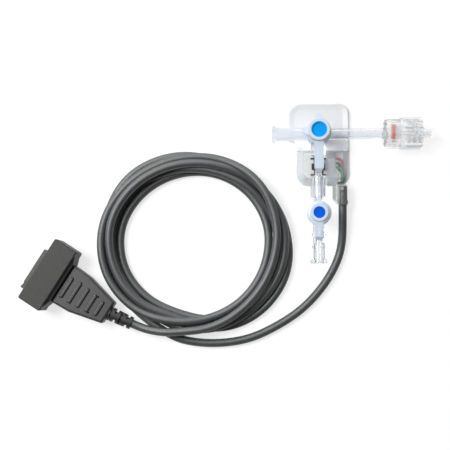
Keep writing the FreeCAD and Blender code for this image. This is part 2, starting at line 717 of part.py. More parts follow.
def lower_stopcock_body():
    """Clear moulding: inlet tube, barrel and female luer arm with two shoulders and lock lugs."""
    axis = V(0, LOWER_AXIS_Y, 0)
    outside, inside = barrel(LOWER_BARREL_RADIUS, LOWER_BARREL_BOTTOM, LOWER_BARREL_TOP,
                             LOWER_PLUG_TOP_RADIUS, LOWER_PLUG_BOTTOM_RADIUS, lower_lip_top())
    outside.translate(axis)
    inside.translate(axis)
    centre = V(0, LOWER_AXIS_Y, LINE_HEIGHT)
    mouth = V(0, LUER_ARM_END, LINE_HEIGHT)
    inlet_length = SOCKET_END + SOCKET_DEPTH - LOWER_AXIS_Y
    inlet = Part.makeCylinder(INLET_RADIUS, inlet_length, centre, Y_AXIS)
    arm = Part.makeCylinder(LUER_ARM_RADIUS, LOWER_AXIS_Y - LUER_ARM_END, mouth, Y_AXIS)
    rings = []
    for middle in SHOULDER_POSITIONS:
        base = V(0, middle - SHOULDER_LENGTH / 2, LINE_HEIGHT)
        rings.append(Part.makeCylinder(SHOULDER_RADIUS, SHOULDER_LENGTH, base, Y_AXIS))
    lugs = luer_lugs(mouth, Y_AXIS, X_AXIS)
    body = outside.fuse([inlet, arm, lugs] + rings)
    length = SOCKET_END + SOCKET_DEPTH - LUER_ARM_END
    body = body.cut([
        inside,
        luer_socket(mouth, Y_AXIS),
        Part.makeCylinder(FLUID_BORE, length, mouth, Y_AXIS),
    ])
    return body.removeSplitter()


def plug_solid(lip_top, barrel_top, top_radius, bottom_radius, head_radius, head_wall, disc_level, ring_top):
    """Tapered valve plug with a snap lip below and a cupped head above, before its cross bores."""
    lip = bottom_radius + PLUG_LIP
    lip_high = lip_top - PLUG_LIP_CLEARANCE
    lip_low = lip_high - PLUG_LIP_HEIGHT
    cup = head_radius - head_wall
    seat = barrel_top + SKIRT_CLEARANCE
    profile = [
        (0, lip_low), (lip - PLUG_LIP / 2, lip_low), (lip, lip_high), (bottom_radius, lip_high),
        (bottom_radius, lip_top), (top_radius, barrel_top), (top_radius, seat),
        (head_radius, seat), (head_radius, ring_top), (cup, ring_top), (cup, disc_level), (0, disc_level),
    ]
    return turned(profile)


def upper_plug():
    """Azure plug with a T of cross bores, open towards the three short arms of the handle."""
    plug = plug_solid(upper_lip_top(), UPPER_BARREL_TOP, UPPER_PLUG_TOP_RADIUS, UPPER_PLUG_BOTTOM_RADIUS,
                      UPPER_HEAD_RADIUS, UPPER_HEAD_WALL, UPPER_DISC_LEVEL, UPPER_RING_TOP - HANDLE_CHAMFER)
    reach = UPPER_HEAD_RADIUS
    through = Part.makeCylinder(FLUID_BORE, 2 * reach, V(0, -reach, LINE_HEIGHT), Y_AXIS)
    branch = Part.makeCylinder(FLUID_BORE, reach, V(0, 0, LINE_HEIGHT), -X_AXIS)
    return plug.cut([through, branch])


def lower_plug():
    """Royal blue plug with one straight cross bore along the line."""
    plug = plug_solid(lower_lip_top(), LOWER_BARREL_TOP, LOWER_PLUG_TOP_RADIUS, LOWER_PLUG_BOTTOM_RADIUS,
                      LOWER_HEAD_RADIUS, LOWER_HEAD_WALL, LOWER_DISC_LEVEL, LOWER_RING_TOP - HANDLE_CHAMFER)
    reach = LOWER_HEAD_RADIUS
    plug = plug.cut(Part.makeCylinder(FLUID_BORE, 2 * reach, V(0, -reach, LINE_HEIGHT), Y_AXIS))
    plug.translate(V(0, LOWER_AXIS_Y, 0))
    return plug


def lever(length, width, bottom, top, tip_top, nose_share):
    """Lever towards -Y that falls a little to a rounded, sloped nose, hollowed from below."""
    nose = width * nose_share
    half = width / 2
    tip = half * LEVER_TIP_SHARE
    corners = [
        (-half, 0, LEVER_ROOT_ROUND),
        (-half, nose - length, LEVER_SHOULDER_ROUND),
        (-tip, -length, LEVER_TIP_ROUND),
        (tip, -length, LEVER_TIP_ROUND),
        (half, nose - length, LEVER_SHOULDER_ROUND),
        (half, 0, LEVER_ROOT_ROUND),
    ]
    side = [V(-half, 0, bottom), V(-half, -length, bottom), V(-half, -length, tip_top - NOSE_FALL),
            V(-half, NOSE_FALL_LENGTH - length, tip_top), V(-half, 0, top), V(-half, 0, bottom)]
    solid = slab(corners, bottom, top).common(Part.Face(Part.makePolygon(side)).extrude(V(width, 0, 0)))
    inner = half - LEVER_WALL
    hollow = box(-inner, inner, nose + LEVER_WALL - length, 0, bottom, tip_top - LEVER_ROOF)
    return solid.cut(hollow)


def nub(length, root, tip, bottom, top, ring_radius):
    """Short arm towards +Y that narrows to a rounded end, with a chevron mark cut in its top."""
    corners = [(-root / 2, 0, NUB_ROUND), (root / 2, 0, NUB_ROUND), (tip / 2, length, NUB_ROUND),
               (-tip / 2, length, NUB_ROUND)]
    start = ring_radius + MARK_MARGIN
    end = length - MARK_MARGIN
    middle = (start + end) / 2
    line = MARK_LINE / 2
    reach = MARK_HALF_WIDTH
    points = [(reach + line, start), (line - reach, middle), (reach + line, end), (reach - line, end),
              (-reach - line, middle), (reach - line, start), (reach + line, start)]
    mark = Part.Face(Part.makePolygon([V(x, y, top - GROOVE_DEPTH) for x, y in points]))
    return slab(corners, bottom, top).cut(mark.extrude(V(0, 0, 2 * GROOVE_DEPTH)))


def handle_solid(ring_radius, ring_top, head_radius, skirt_radius, skirt_low, skirt_thickness):
    """Ring and skirt of a valve handle, with the hole that the plug's head fills."""
    skirt_high = skirt_low + skirt_thickness
    profile = [
        (0, skirt_low), (skirt_radius, skirt_low), (skirt_radius, skirt_high - HANDLE_CHAMFER),
        (skirt_radius - HANDLE_CHAMFER, skirt_high), (ring_radius, skirt_high + HANDLE_CHAMFER),
        (ring_radius, ring_top - HANDLE_CHAMFER), (ring_radius - HANDLE_CHAMFER, ring_top), (0, ring_top),
    ]
    hole = turned([(0, skirt_low), (head_radius, skirt_low), (head_radius, ring_top), (0, ring_top)])
    return turned(profile), hole


def upper_handle():
    """Pale blue handle: long grooved lever and two short nubs, opposite and to the left."""
    low = UPPER_BARREL_TOP + SKIRT_CLEARANCE
    hub, hole = handle_solid(UPPER_RING_RADIUS, UPPER_RING_TOP, UPPER_HEAD_RADIUS, UPPER_SKIRT_RADIUS,
                             low, UPPER_SKIRT_THICKNESS)
    arm = lever(UPPER_LEVER_LENGTH, UPPER_LEVER_WIDTH, UPPER_LEVER_BOTTOM, UPPER_LEVER_TOP,
                UPPER_LEVER_TIP_TOP, UPPER_NOSE_SHARE)
    opposite = nub(UPPER_NUB_LENGTH, UPPER_NUB_ROOT, UPPER_NUB_TIP, UPPER_LEVER_BOTTOM, UPPER_LEVER_TIP_TOP,
                   UPPER_RING_RADIUS)
    side = nub(SIDE_NUB_LENGTH, UPPER_NUB_ROOT, UPPER_NUB_TIP, UPPER_LEVER_BOTTOM, UPPER_LEVER_TIP_TOP,
               UPPER_RING_RADIUS)
    side.rotate(V(0, 0, 0), Z_AXIS, 90)
    half = GROOVE_WIDTH / 2
    groove = box(-GROOVE_OFFSET - half, half - GROOVE_OFFSET, GROOVE_MARGIN - UPPER_LEVER_LENGTH,
                 -UPPER_RING_RADIUS - GROOVE_MARGIN, UPPER_LEVER_TIP_TOP - GROOVE_DEPTH, UPPER_LEVER_TOP)
    return hub.fuse([arm, opposite, side]).cut([hole, groove]).removeSplitter()


def lower_handle():
    """Pale blue handle of the lower valve: short lever with an arrow, and a nub opposite."""
    low = LOWER_BARREL_TOP + SKIRT_CLEARANCE
    hub, hole = handle_solid(LOWER_RING_RADIUS, LOWER_RING_TOP, LOWER_HEAD_RADIUS, LOWER_SKIRT_RADIUS,
                             low, LOWER_SKIRT_THICKNESS)
    arm = lever(LOWER_LEVER_LENGTH, LOWER_LEVER_WIDTH, LOWER_LEVER_BOTTOM, LOWER_LEVER_TOP,
                LOWER_LEVER_TIP_TOP, LOWER_NOSE_SHARE)
    opposite = nub(LOWER_NUB_LENGTH, LOWER_NUB_ROOT, LOWER_NUB_TIP, LOWER_LEVER_BOTTOM, LOWER_LEVER_TIP_TOP,
                   LOWER_RING_RADIUS)
    level = LOWER_LEVER_TIP_TOP - GROOVE_DEPTH
    half = GROOVE_WIDTH / 2
    point = GROOVE_MARGIN - LOWER_LEVER_LENGTH
    shaft = box(-GROOVE_OFFSET - half, half - GROOVE_OFFSET, point + ARROW_LENGTH / 2,
                -LOWER_RING_RADIUS - MARK_MARGIN, level, LOWER_LEVER_TOP)
    tip = V(-GROOVE_OFFSET, point, level)
    right = tip + V(ARROW_HALF_WIDTH, ARROW_LENGTH, 0)
    left = tip + V(-ARROW_HALF_WIDTH, ARROW_LENGTH, 0)
    head = Part.Face(Part.makePolygon([tip, right, left, tip])).extrude(V(0, 0, LOWER_LEVER_TOP - level))
    handle = hub.fuse([arm, opposite]).cut([hole, shaft, head]).removeSplitter()
    handle.translate(V(0, LOWER_AXIS_Y, 0))
    return handle


def rotator_cap():
    """Clear cap bonded on the right tube, fluted outside, with the seal's cavity inside."""
    base = V(CAP_START, 0, LINE_HEIGHT)
    cap = turned([(0, 0), (CAP_RADIUS, 0), (CAP_RADIUS, CAP_LENGTH), (0, CAP_LENGTH)], base, X_AXIS)
    rounds = [edge for edge in cap.Edges if isinstance(edge.Curve, Part.Circle)]
    rim = [edge for edge in rounds if abs(edge.Curve.Center.x - CAP_START) < SAME]
    cap = cap.makeFillet(CAP_ROUND, rim)
    lip_start = CAP_LENGTH - CAP_LIP_LENGTH
    lip = SPINDLE_RADIUS + SPINDLE_CLEARANCE
    cavity = turned([(0, 0), (RIGHT_ARM_RADIUS, 0), (RIGHT_ARM_RADIUS, CAP_SEAT_LENGTH),
                     (CAVITY_RADIUS, CAP_SEAT_LENGTH), (CAVITY_RADIUS, lip_start), (lip, lip_start),
                     (lip, CAP_LENGTH), (0, CAP_LENGTH)], base, X_AXIS)
    flutes = []
    flute_level = LINE_HEIGHT + CAP_RADIUS + FLUTE_RADIUS - FLUTE_DEPTH
    flute_start = V(CAP_START + CAP_ROUND, 0, flute_level)
    for i in range(FLUTE_COUNT):
        flute = Part.makeCylinder(FLUTE_RADIUS, CAP_LENGTH - CAP_ROUND, flute_start, X_AXIS)
        flute.rotate(base, X_AXIS, 360.0 * i / FLUTE_COUNT)
        flutes.append(flute)
    return cap.cut([cavity] + flutes)


def o_ring_position():
    """X of the seal's middle, just behind the spindle's snap ridge."""
    return CAP_END - CAP_LIP_LENGTH - SNAP_CLEARANCE - SNAP_LENGTH - O_RING_GAP - O_RING_SECTION


def rotator_o_ring():
    """Orange seal on the spindle, inside the cap."""
    centre = V(o_ring_position(), 0, LINE_HEIGHT)
    return Part.makeTorus(SPINDLE_RADIUS + O_RING_SECTION, O_RING_SECTION, centre, X_AXIS)


def rotator_collar():
    """Clear rotating piece: spindle with a snap ridge, winged lock collar and male luer tip."""
    def at(x):
        return x - CAP_START
    snap_high = at(CAP_END - CAP_LIP_LENGTH - SNAP_CLEARANCE)
    snap_low = snap_high - SNAP_LENGTH
    start = at(ARM_SEAT + SPINDLE_END_GAP)
    flange_low = at(COLLAR_START)
    flange_high = flange_low + COLLAR_FLANGE_LENGTH
    end = at(COLLAR_END)
    floor = flange_low + COLLAR_FLOOR
    tip = at(TIP_END)
    tip_root = LUER_TIP_RADIUS + LUER_HALF_TAPER * (tip - floor)
    base = V(CAP_START, 0, LINE_HEIGHT)
    profile = [
        (TIP_BORE, start), (SPINDLE_RADIUS, start),
        (SPINDLE_RADIUS, snap_low), (SNAP_RADIUS, snap_low + SNAP_SLOPE),
        (SNAP_RADIUS, snap_high), (SPINDLE_RADIUS, snap_high),
        (SPINDLE_RADIUS, flange_low), (COLLAR_FLANGE_RADIUS, flange_low),
        (COLLAR_FLANGE_RADIUS, flange_high), (COLLAR_CORE_RADIUS, flange_high),
        (COLLAR_CORE_RADIUS, end), (THREAD_ROOT_RADIUS, end),
        (THREAD_ROOT_RADIUS, floor), (tip_root, floor),
        (LUER_TIP_RADIUS, tip), (TIP_BORE, tip),
    ]
    body = turned(profile, base, X_AXIS)
    envelope = turned([(0, flange_low), (COLLAR_RADIUS, flange_low), (COLLAR_RADIUS, end - COLLAR_CHAMFER),
                       (COLLAR_RADIUS - COLLAR_CHAMFER, end), (0, end)], base, X_AXIS)
    wings = []
    half = WING_WIDTH / 2
    inner = (COLLAR_CORE_RADIUS + THREAD_ROOT_RADIUS) / 2
    for i in range(WING_COUNT):
        wing = box(COLLAR_START, COLLAR_END, -half, half, LINE_HEIGHT + inner, LINE_HEIGHT + COLLAR_RADIUS)
        wing.rotate(base, X_AXIS, 360.0 * (i + 0.5) / WING_COUNT)
        wings.append(wing.common(envelope))
    return body.fuse(wings).removeSplitter()


def place_plug(shape):
    """Moves a piece from the connector's own frame to where the connector lies."""
    lay = FreeCAD.Placement(PLUG_CENTRE, FreeCAD.Rotation(Z_AXIS, PLUG_ANGLE))
    shape.Placement = lay.multiply(shape.Placement)
    return shape


def plug_shell():
    """Connector block with rounded corners, a narrower rear step and a pocket for the nose."""
    corners = rectangle(SHELL_FRONT, SHELL_LENGTH / 2, -SHELL_WIDTH / 2, SHELL_WIDTH / 2, SHELL_ROUND)
    block = slab(corners, 0, SHELL_HEIGHT)
    block = block.makeChamfer(SHELL_ROUND / 2, edges_at(block, SHELL_HEIGHT) + edges_at(block, 0))
    root = SHELL_LENGTH / 2 - SHELL_REAR_START
    spread = SHELL_REAR_SPREAD
    rear_low = Part.makePolygon([V(root, y, z) for y, z in rear_corners(SHELL_WIDTH - 2 * spread, spread)])
    rear_high = Part.makePolygon([V(SHELL_BACK, y, z) for y, z in rear_corners(SHELL_REAR_WIDTH, 0)])
    rear = Part.makeLoft([rear_low, rear_high], True, True)
    nose_low, nose_high = nose_span()
    gap = NOSE_CLEARANCE
    pocket = box(SHELL_FRONT, SHELL_FRONT + NOSE_DEPTH + gap, nose_low - gap, nose_high + gap,
                 NOSE_LOW - gap, NOSE_HIGH + gap)
    return place_plug(block.fuse(rear).cut(pocket).removeSplitter())


def rear_corners(width, grow):
    """Closed rectangle of the block's rear step, as (v, level) pairs."""
    half = width / 2
    low = SHELL_REAR_LOW - min(grow, SHELL_REAR_LOW / 2)
    high = SHELL_REAR_HIGH + grow
    return [(-half, low), (half, low), (half, high), (-half, high), (-half, low)]


def nose_span():
    """Lowest and highest v of the nose."""
    return NOSE_OFFSET - NOSE_WIDTH / 2, NOSE_OFFSET + NOSE_WIDTH / 2


def slot_span():
    """Lowest and highest v, and lowest and highest level, of the nose's slot."""
    low, high = nose_span()
    middle = (NOSE_LOW + NOSE_HIGH) / 2
    return low + NOSE_WALL, high - NOSE_WALL, middle - SLOT_HEIGHT / 2, middle + SLOT_HEIGHT / 2


def plug_nose():
    """Mating nose in the block's pocket, with a slot and a keying notch."""
    low, high = nose_span()
    front = SHELL_FRONT - NOSE_PROUD
    back = SHELL_FRONT + NOSE_DEPTH
    body = box(front, back, low, high, NOSE_LOW, NOSE_HIGH)
    v_low, v_high, z_low, z_high = slot_span()
    slot = box(front, back - SLOT_FLOOR, v_low, v_high, z_low, z_high)
    notch = box(front, front + NOTCH_DEPTH, NOTCH_V - NOTCH_WIDTH / 2, NOTCH_V + NOTCH_WIDTH / 2,
                NOSE_HIGH - NOTCH_DEPTH, NOSE_HIGH)
    return place_plug(body.cut([slot, notch]))


def plug_contacts():
    """Row of contact strips along the floor of the nose's slot."""
    v_low, v_high, z_low, _ = slot_span()
    front = SHELL_FRONT - NOSE_PROUD + CONTACT_SETBACK
    back = SHELL_FRONT + NOSE_DEPTH - SLOT_FLOOR
    pitch = (v_high - v_low) / CONTACT_COUNT
    strips = []
    for i in range(CONTACT_COUNT):
        middle = v_low + pitch * (i + 0.5)
        strips.append(box(front, back, middle - CONTACT_WIDTH / 2, middle + CONTACT_WIDTH / 2,
                          z_low, z_low + CONTACT_THICKNESS))
    return place_plug(Part.makeCompound(strips))


def grip_end():
    """u of the grip's far end."""
    return SHELL_BACK + GRIP_STATIONS[-1][0]


def plug_grip():
    """Tapered overmould behind the block with raised round-ended ribs on both faces."""
    right = [(SHELL_BACK + u, -half, GRIP_CORNER) for u, half in GRIP_STATIONS]
    left = [(SHELL_BACK + u, half, GRIP_CORNER) for u, half in reversed(GRIP_STATIONS)]
    body = slab(right + left, GRIP_LOW, GRIP_HIGH)
    body = body.makeFillet(GRIP_ROUND, edges_at(body, GRIP_LOW) + edges_at(body, GRIP_HIGH))
    back_trim = box(SHELL_BACK - GRIP_ROUND, SHELL_BACK, -SHELL_WIDTH, SHELL_WIDTH, 0, SHELL_HEIGHT)
    body = body.cut(back_trim)
    ribs = []
    for i, half in enumerate(RIB_HALF_LENGTHS):
        u = SHELL_BACK + RIB_FIRST + RIB_PITCH * i
        corners = rectangle(u - RIB_WIDTH / 2, u + RIB_WIDTH / 2, RIB_V - half, RIB_V + half,
                            RIB_WIDTH * RIB_END_SHARE)
        upper = slab(corners, GRIP_HIGH - GRIP_ROUND, GRIP_HIGH + RIB_PROUD)
        lower = slab(corners, GRIP_LOW - RIB_PROUD, GRIP_LOW + GRIP_ROUND)
        ribs.append(upper.makeFillet(RIB_ROUND, edges_at(upper, GRIP_HIGH + RIB_PROUD)))
        ribs.append(lower.makeFillet(RIB_ROUND, edges_at(lower, GRIP_LOW - RIB_PROUD)))
    dimpled = len(RIB_HALF_LENGTHS) - 2
    dimple_u = SHELL_BACK + RIB_FIRST + RIB_PITCH * dimpled + RIB_WIDTH / 2 + RIB_DIMPLE_RADIUS
    dimple_v = RIB_HALF_LENGTHS[dimpled] - RIB_DIMPLE_RADIUS
    dimples = []
    for side in (-1, 1):
        base = V(dimple_u, RIB_V + side * dimple_v, GRIP_HIGH - RIB_DIMPLE_DEPTH)
        dimples.append(Part.makeCylinder(RIB_DIMPLE_RADIUS, RIB_DIMPLE_DEPTH + RIB_PROUD, base, Z_AXIS))
    return place_plug(body.fuse(ribs).cut(dimples).removeSplitter())


def place_relief(shape):
    """Turns the strain relief out of the connector's line and trims it to the grip's end face."""
    turn = FreeCAD.Placement(V(grip_end(), 0, RELIEF_HEIGHT), FreeCAD.Rotation(Z_AXIS, RELIEF_TURN))
    shape.Placement = turn.multiply(shape.Placement)
    reach = SHELL_WIDTH / 2
    grip_space = box(grip_end() - reach, grip_end(), -reach, reach, 0, SHELL_HEIGHT)
    return place_plug(shape.cut(grip_space))


def plug_strain_relief():
    """Segmented strain relief: rings on a slim core, bridged by turns on two sides and then the others."""
    back = -RELIEF_FOOT_LENGTH
    core = turned([(0, back), (RELIEF_CORE_RADIUS, back), (RELIEF_CORE_RADIUS, RELIEF_LENGTH),
                   (0, RELIEF_LENGTH)], V(0, 0, 0), X_AXIS)
    foot = turned([(0, back), (RELIEF_START_RADIUS, back), (RELIEF_START_RADIUS, RELIEF_FOOT_LENGTH),
                   (0, RELIEF_FOOT_LENGTH)], V(0, 0, 0), X_AXIS)
    envelope = turned([(0, 0), (RELIEF_START_RADIUS, 0), (RELIEF_END_RADIUS, RELIEF_LENGTH),
                       (0, RELIEF_LENGTH)], V(0, 0, 0), X_AXIS)
    spacing = (RELIEF_LENGTH - RELIEF_RING_LENGTH) / (RELIEF_RING_COUNT - 1 + RELIEF_FIRST_GAP)
    pieces = []
    half = RELIEF_BRIDGE_WIDTH / 2
    reach = RELIEF_START_RADIUS
    for i in range(RELIEF_RING_COUNT):
        start = RELIEF_LENGTH - RELIEF_RING_LENGTH - spacing * (RELIEF_RING_COUNT - 1 - i)
        pieces.append(box(start, start + RELIEF_RING_LENGTH, -reach, reach, -reach, reach))
        if i > 0:
            gap_start = start - spacing + RELIEF_RING_LENGTH
            if i % 2:
                pieces.append(box(gap_start, start, -half, half, -reach, reach))
            else:
                pieces.append(box(gap_start, start, -reach, reach, -half, half))
    rings = [piece.common(envelope) for piece in pieces]
    return core.fuse([foot] + rings).removeSplitter()


def relief_exit():
    """Point and direction at which the cable leaves the strain relief."""
    turn = math.radians(PLUG_ANGLE + RELIEF_TURN)
    angle = math.radians(PLUG_ANGLE)
    end = PLUG_CENTRE + V(math.cos(angle), math.sin(angle), 0) * grip_end()
    direction = V(math.cos(turn), math.sin(turn), 0)
    return end + V(0, 0, RELIEF_HEIGHT) + direction * RELIEF_LENGTH, direction


def cable_lead():
    """Cable from inside the gland, down to the surface and round to the coil."""
    points = [
        V(CABLE_X, GLAND_BOTTOM + CABLE_BORE_DEPTH, CABLE_EXIT_HEIGHT),
        V(CABLE_X, -35.2, CABLE_EXIT_HEIGHT),
        V(10.7, -48.1, CABLE_FLOOR),
        V(8.0, -57.5, CABLE_FLOOR),
        V(1.9, -67.7, CABLE_FLOOR),
        V(-7.1, -77.5, CABLE_FLOOR),
        V(-17.8, -84.7, CABLE_FLOOR),
        V(-30.3, -90.7, CABLE_FLOOR),
        V(-43.3, -92.9, CABLE_FLOOR),
        V(-55.9, -92.5, CABLE_FLOOR),
        V(-66.9, -88.2, CABLE_FLOOR),
    ]
    return run_tube(points, CABLE_RADIUS, "cable_lead")


def cable_tail():
    """Cable from the strain relief up on to the coil."""
    start, direction = relief_exit()
    points = [
        start,
        start + direction * TAIL_STRAIGHT,
        V(-73.5, -87.4, 6.2),
        V(-67.6, -87.6, 7.3),
    ]
    return run_tube(points, CABLE_RADIUS, "cable_tail")


def cable_coil():
    """Outer shape of the coiled bundle: an oval ring with rounded edges, flat where it lies."""
    def oval(centre, radii):
        curve = Part.Ellipse(V(0, 0, FLOOR_GAP), radii[0], radii[1]).toShape()
        curve.rotate(V(0, 0, 0), Z_AXIS, COIL_TURN)
        curve.translate(centre)
        return Part.Face(Part.Wire([curve])).extrude(V(0, 0, COIL_HEIGHT - FLOOR_GAP))
    ring = oval(COIL_OUTER_CENTRE, COIL_OUTER).cut(oval(COIL_INNER_CENTRE, COIL_INNER))
    level_edges = edges_at(ring, FLOOR_GAP) + edges_at(ring, COIL_HEIGHT)
    return ring.makeFillet(COIL_ROUND, level_edges)


NODES = {
    "back_plate": back_plate,
    "sensor_cover": sensor_cover,
    "manifold_body": manifold_body,
    "sensor_board": sensor_board,
    "sensor_die": sensor_die,
    "trim_resistor": trim_resistor,
    "sensor_gasket": sensor_gasket,
    "contact_strip": contact_strip,
    "cable_gland": cable_gland,
    "gland_pin": gland_pin,
    "lower_stopcock_body": lower_stopcock_body,
    "upper_plug": upper_plug,
    "upper_handle": upper_handle,
    "lower_plug": lower_plug,
    "lower_handle": lower_handle,
    "rotator_cap": rotator_cap,
    "rotator_o_ring": rotator_o_ring,
    "rotator_collar": rotator_collar,
    "plug_shell": plug_shell,
    "plug_nose": plug_nose,
    "plug_contacts": plug_contacts,
    "plug_grip": plug_grip,
    "cable_lead": cable_lead,
    "cable_coil": cable_coil,
    "cable_tail": cable_tail,
}

shapes = {name: make() for name, make in NODES.items()}
shapes["plug_strain_relief"] = place_relief(plug_strain_relief())
for wire_name in WIRE_LANES:
    shapes[wire_name] = wire(wire_name)

for name, shape in shapes.items():
    shape.exportStep(os.path.join("parts", name + ".step"))
    print(name, "solids", len(shape.Solids), "volume", round(shape.Volume, 2), "valid", shape.isValid())
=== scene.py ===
import math

import bpy
from mathutils import Matrix, Vector


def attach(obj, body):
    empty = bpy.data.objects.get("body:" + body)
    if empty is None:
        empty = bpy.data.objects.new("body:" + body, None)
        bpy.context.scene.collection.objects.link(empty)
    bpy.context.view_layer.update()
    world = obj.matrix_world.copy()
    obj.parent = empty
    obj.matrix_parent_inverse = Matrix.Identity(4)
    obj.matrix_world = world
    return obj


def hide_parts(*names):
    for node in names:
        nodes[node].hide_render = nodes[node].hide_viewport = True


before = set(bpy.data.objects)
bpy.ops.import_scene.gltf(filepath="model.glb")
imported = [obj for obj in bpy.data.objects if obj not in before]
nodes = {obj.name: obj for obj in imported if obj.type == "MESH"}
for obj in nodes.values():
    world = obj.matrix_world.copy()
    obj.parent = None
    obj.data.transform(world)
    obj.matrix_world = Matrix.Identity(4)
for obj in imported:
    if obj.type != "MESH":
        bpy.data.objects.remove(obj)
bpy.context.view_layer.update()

MM = 0.001

# Camera, at the photograph's viewing angle
CAMERA_PLACE = Vector((-14.9, -73.6, 450.0)) * MM
CAMERA_TARGET = Vector((-42.1, -39.6, 0.0)) * MM
CAMERA_LENS = 79.75
CAMERA_SENSOR = 36.0
CAMERA_NEAREST = 0.01

# Key lamp: its direction from the object's middle, distance and width in metres, and watts
KEY_LIGHT_FROM = (-0.92, 0.36, 1.6)
KEY_DISTANCE = 0.95
KEY_SIZE = 0.34
KEY_POWER = 5.7

# Surround: the directions in which its fill, its gloss and what shows through clear plastic are
# brightest, with the strengths away from there (LOW) and there (HIGH). START and FULL are the
# cosines of the angles to that direction at which the strength starts to rise and is full.
SOFT_LIGHT_FROM = (-0.3, 0.8, 0.5)
FILL_LOW = 0.08
FILL_HIGH = 0.66
GLOSS_LIGHT_FROM = (-0.35, 0.85, 0.4)
GLOSS_LOW = 0.03
GLOSS_HIGH = 3.2
GLOSS_START = 0.4
GLASS_LIGHT_FROM = (0.0, 0.0, 1.0)
GLASS_LOW = 0.15
GLASS_HIGH = 1.0
GLASS_FULL = 0.7
BACKDROP_STRENGTH = 1.0

# Floor: half its width in metres, the share of light it throws on the object, and the share and
# the glow that it shows itself with
FLOOR_HALF = 4.0
FLOOR_BOUNCE = 0.45
FLOOR_SHOWN = 0.42
FLOOR_GLOW = 0.7

# Cable: its real thickness and its mesh steps
CABLE_DIAMETER = 3.7 * MM
CABLE_STEPS = 10
CABLE_ROUND_STEPS = 7

# Height of the cable's middle where it lies on the surface, in mm
CABLE_FLOOR = 1.9

# Route of the cable from inside the gland, down to the surface and round to the coil, in mm
LEAD_POINTS = (
    (10.8, -22.9, 4.5),
    (10.8, -35.2, 4.5),
    (10.7, -48.1, CABLE_FLOOR),
    (8.0, -57.5, CABLE_FLOOR),
    (1.9, -67.7, CABLE_FLOOR),
    (-7.1, -77.5, CABLE_FLOOR),
    (-17.8, -84.7, CABLE_FLOOR),
    (-30.3, -90.7, CABLE_FLOOR),
    (-43.3, -92.9, CABLE_FLOOR),
    (-55.9, -92.5, CABLE_FLOOR),
)

# Route from the top of the coil to the strain relief, in mm
TAIL_POINTS = (
    (-65.4, -88.0, 7.8),
    (-73.0, -87.4, 6.6),
    (-79.5, -85.85, 5.4),
    (-83.65, -83.94, 5.4),
)

# Coil: five loose turns about a centre, in mm. Each row is one turn and starts near the crossing
# at the bottom; its twelve numbers are 30 degrees apart, clockwise seen from above. The heights
# are those of the cable's middle, and 1.9 lies on the surface.
COIL_CENTRE = (-55.7, -49.4)
COIL_START = 195.0
COIL_STEP = 30.0
TURN_RADII = (
    (40.3, 38.4, 40.3, 41.9, 44.0, 42.3, 39.8, 39.5, 41.5, 43.2, 41.5, 38.2),
    (32.0, 34.9, 37.0, 38.9, 38.0, 37.0, 37.2, 39.6, 41.3, 40.3, 38.1, 37.6),
    (36.7, 34.3, 36.2, 38.0, 37.5, 35.4, 34.6, 35.9, 37.6, 37.2, 34.8, 33.9),
    (30.2, 31.4, 33.2, 34.4, 33.8, 33.6, 34.1, 34.3, 34.0, 32.6, 32.2, 32.5),
    (34.5, 38.7, 41.7, 42.5, 40.9, 39.8, 40.5, 40.6, 38.1, 35.7, 35.0, 36.6),
)
TURN_HEIGHTS = (
    (1.9, 1.9, 1.9, 1.9, 1.9, 1.9, 1.9, 1.9, 1.9, 1.9, 1.9, 1.9),
    (5.0, 6.6, 7.0, 7.8, 8.4, 8.4, 7.8, 5.4, 5.4, 4.6, 4.2, 5.4),
    (1.9, 3.2, 3.0, 1.9, 1.9, 4.9, 5.4, 5.1, 1.9, 1.9, 1.9, 1.9),
    (1.9, 1.9, 1.9, 1.9, 1.9, 1.9, 1.9, 1.9, 3.0, 4.2, 5.3, 5.4),
    (7.3, 5.6, 5.6, 5.6, 5.4, 5.4, 5.8, 8.8, 9.0, 8.8, 8.6, 8.7),
)

# Luer thread inside the lock collar, in mm: the height of the line's axis, the ridge's ends along
# X, its rise in one turn, its radii at root and crest, and half its width at each
LINE_HEIGHT = 9.0
THREAD_START = 39.9
THREAD_END = 44.9
THREAD_LEAD = 5.0
THREAD_ROOT = 4.12
THREAD_CREST = 3.55
THREAD_FOOT = 0.5
THREAD_FLAT = 0.2
THREAD_STEPS_A_TURN = 40

# Range that nearly all values of a noise texture lie in
NOISE_LOW = 0.3
NOISE_HIGH = 0.7

# Upward part of a surface's direction where a side ends and where a level top starts
SIDE_SLOPE = 0.9
TOP_SLOPE = 0.99

# Depth that light reaches in a moulding
SUBSURFACE_DEPTH = 1.2 * MM

# Where the left arm turns from clear to frosted along X, and its roughness there
FROST_START = -2.0 * MM
FROST_END = -5.0 * MM
FROST_ROUGHNESS = 0.6

# Pieces whose sharp edges are rounded, with how far
SOFT_EDGES = {
    "upper_handle": 0.22 * MM,
    "lower_handle": 0.2 * MM,
    "plug_shell": 0.3 * MM,
    "plug_nose": 0.2 * MM,
}
SOFT_EDGE_STEPS = 3
SOFT_EDGE_ANGLE = math.radians(38)
WELD_GAP = 0.002 * MM


def linear(red, green, blue):
    """Scene colour of an sRGB colour given as three numbers from 0 to 255."""
    def channel(value):
        share = value / 255
        if share <= 0.04045:
            return share / 12.92
        return ((share + 0.055) / 1.055) ** 2.4
    return (channel(red), channel(green), channel(blue), 1.0)


def darker(colour, share):
    """Scene colour with that share of another one's light."""
    return [part * share for part in colour[:3]] + [1.0]


def add_object(name, data):
    """New object in the scene."""
    piece = bpy.data.objects.new(name, data)
    bpy.context.scene.collection.objects.link(piece)
    return piece


